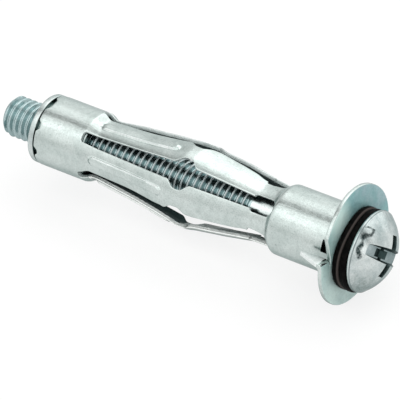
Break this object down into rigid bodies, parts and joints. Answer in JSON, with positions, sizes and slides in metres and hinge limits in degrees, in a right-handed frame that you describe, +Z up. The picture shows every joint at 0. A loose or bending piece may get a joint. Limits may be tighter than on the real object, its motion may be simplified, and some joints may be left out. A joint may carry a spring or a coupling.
{
  "type": "hollow wall anchor",
  "caption": "Folded sheet sleeve with a flange and slit legs that collapse behind a wall board, holding a crimped nut, a pan head screw and washers.",
  "frame": {"origin": "on the screw's axis, in the plane of the flange's back face, which bears on the wall", "axes": "+X along the screw, out of the wall towards the head; +Z up, through the middle of a leg; -Y towards the side with the slit that shows best"},
  "size_m": [0.063, 0.0176, 0.0176],
  "materials": {
    "zinc_sheet": "bright zinc plating on folded sheet",
    "zinc_nut": "bright zinc plating",
    "zinc_screw": "bright zinc plating with a blue-green tint",
    "black_washer": "satin black rubber"
  },
  "bodies": {
    "anchor": {"sleeve": "zinc_sheet", "nut": "zinc_nut"},
    "washers": {"back_washer": "black_washer", "front_washer": "black_washer"},
    "screw": {"screw": "zinc_screw"}
  },
  "joints": [
    {"name": "screw_travel", "type": "slide", "parent": "anchor", "child": "washers", "axis": [1, 0, 0], "range_m": [0, 0.01225]},
    {"name": "screw_turn", "type": "hinge", "parent": "washers", "child": "screw", "pos_m": [0, 0, 0], "axis": [1, 0, 0], "range_deg": [0, 4411]}
  ],
  "couplings": [
    {"joint": "screw_turn", "follows": "screw_travel", "rad_per_m": 6283.2}
  ]
}
